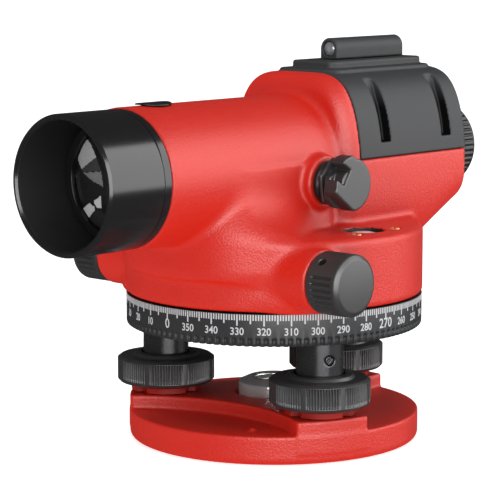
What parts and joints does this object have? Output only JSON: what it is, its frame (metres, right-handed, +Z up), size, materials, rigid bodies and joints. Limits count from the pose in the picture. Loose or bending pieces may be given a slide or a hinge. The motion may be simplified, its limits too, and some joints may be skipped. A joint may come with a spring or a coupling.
{
  "type": "automatic level",
  "caption": "Automatic level: a surveying telescope on a graduated levelling base, with focus and tangent knobs, a round bubble and a hanging-prism compensator.",
  "frame": {"origin": "centre of the base plate's underside, on the standing axis", "axes": "+Z up along the standing axis; -Y is where the objective looks, +Y the eyepiece, +X the side with the focus knob and the round bubble"},
  "size_m": [0.132, 0.2146, 0.1468],
  "materials": {
    "red_coat": "gloss textured powder coat",
    "black_plastic": "fine satin",
    "black_anodised": "satin black anodised",
    "gunmetal": "polished dark steel",
    "nickel": "turned nickel plate",
    "steel": "turned",
    "brass": "turned",
    "aluminium": "machined",
    "optical_glass": "coated, clear",
    "vial_glass": "milky, liquid filled"
  },
  "bodies": {
    "base": {"base_plate": "red_coat", "tripod_bush": "nickel", "foot_cap_1": "red_coat", "foot_cap_2": "red_coat", "foot_cap_3": "red_coat", "tribrach_plate": "black_anodised", "axis_bush": "brass", "adjusting_sleeve_1": "gunmetal", "adjusting_sleeve_2": "gunmetal", "adjusting_sleeve_3": "gunmetal", "sleeve_screw_1": "steel", "sleeve_screw_2": "steel", "sleeve_screw_3": "steel"},
    "foot_screw_1": {"foot_knob_1": "black_plastic", "foot_spindle_1": "steel"},
    "foot_screw_2": {"foot_knob_2": "black_plastic", "foot_spindle_2": "steel"},
    "foot_screw_3": {"foot_knob_3": "black_plastic", "foot_spindle_3": "steel"},
    "circle": {"horizontal_circle": "black_anodised"},
    "clutch_wheel": {"worm_wheel": "brass"},
    "telescope": {"body_housing": "red_coat", "standing_spindle": "steel", "spindle_nut": "steel", "top_cover": "black_plastic", "sight_housing": "black_plastic", "sight_window_front": "optical_glass", "sight_window_rear": "optical_glass", "badge_plate": "black_plastic", "sunshade": "black_anodised", "objective_cell": "black_anodised", "objective_lens": "optical_glass", "focus_guide_tube": "aluminium", "focus_flange": "black_plastic", "reticle_ring": "black_anodised", "reticle_glass": "optical_glass", "eyepiece_barrel": "black_anodised", "compensator_frame": "aluminium", "damping_magnet": "steel", "fixed_prism": "optical_glass", "bubble_cup": "aluminium", "bubble_vial": "vial_glass", "bubble_screw_1": "brass", "bubble_screw_2": "brass", "bubble_screw_3": "brass"},
    "tangent_screw": {"worm_shaft": "steel", "drive_knob_left": "black_plastic", "drive_knob_right": "black_plastic", "drive_screw_left": "steel", "drive_screw_right": "steel"},
    "focus_pinion": {"focus_knob": "black_plastic", "focus_shaft": "steel"},
    "focusing": {"focusing_cell": "aluminium", "focusing_lens": "optical_glass"},
    "diopter": {"diopter_ring": "black_plastic"},
    "ocular": {"ocular_cell": "black_anodised", "ocular_lens": "optical_glass"},
    "pendulum": {"pendulum": "brass", "pendulum_prism": "optical_glass", "suspension_ribbon": "steel"}
  },
  "joints": [
    {"name": "foot_screw_1_turn", "type": "hinge", "parent": "base", "child": "foot_screw_1", "pos_m": [0.03725, -0.0169, 0], "axis": [0, 0, 1], "range_deg": [-1080, 1080]},
    {"name": "foot_screw_2_turn", "type": "hinge", "parent": "base", "child": "foot_screw_2", "pos_m": [-0.00399, 0.0407, 0], "axis": [0, 0, 1], "range_deg": [-1080, 1080]},
    {"name": "foot_screw_3_turn", "type": "hinge", "parent": "base", "child": "foot_screw_3", "pos_m": [-0.03325, -0.02381, 0], "axis": [0, 0, 1], "range_deg": [-1080, 1080]},
    {"name": "circle_turn", "type": "hinge", "parent": "base", "child": "circle", "pos_m": [0, 0, 0], "axis": [0, 0, 1], "continuous": true},
    {"name": "coarse_turn", "type": "hinge", "parent": "base", "child": "clutch_wheel", "pos_m": [0, 0, 0], "axis": [0, 0, 1], "continuous": true},
    {"name": "fine_turn", "type": "hinge", "parent": "clutch_wheel", "child": "telescope", "pos_m": [0, 0, 0], "axis": [0, 0, 1], "continuous": true},
    {"name": "tangent_turn", "type": "hinge", "parent": "telescope", "child": "tangent_screw", "pos_m": [0, -0.031, 0.0664], "axis": [1, 0, 0], "continuous": true},
    {"name": "focus_turn", "type": "hinge", "parent": "telescope", "child": "focus_pinion", "pos_m": [0, -0.004, 0.0972], "axis": [1, 0, 0], "range_deg": [-190, 190]},
    {"name": "focus_slide", "type": "slide", "parent": "telescope", "child": "focusing", "axis": [0, 1, 0], "range_m": [-0.0108, 0.0108]},
    {"name": "diopter_turn", "type": "hinge", "parent": "telescope", "child": "diopter", "pos_m": [0, 0.09, 0.1022], "axis": [0, 1, 0], "range_deg": [-150, 150]},
    {"name": "ocular_slide", "type": "slide", "parent": "telescope", "child": "ocular", "axis": [0, 1, 0], "range_m": [-0.0021, 0.0021]},
    {"name": "pendulum_swing", "type": "hinge", "parent": "telescope", "child": "pendulum", "pos_m": [0, 0.046, 0.1144], "axis": [1, 0, 0], "range_deg": [-0.5, 0.5]}
  ],
  "couplings": [
    {"joint": "tangent_turn", "follows": "fine_turn", "ratio": 72},
    {"joint": "focus_slide", "follows": "focus_turn", "m_per_rad": -0.00325},
    {"joint": "ocular_slide", "follows": "diopter_turn", "m_per_rad": 0.00077}
  ]
}
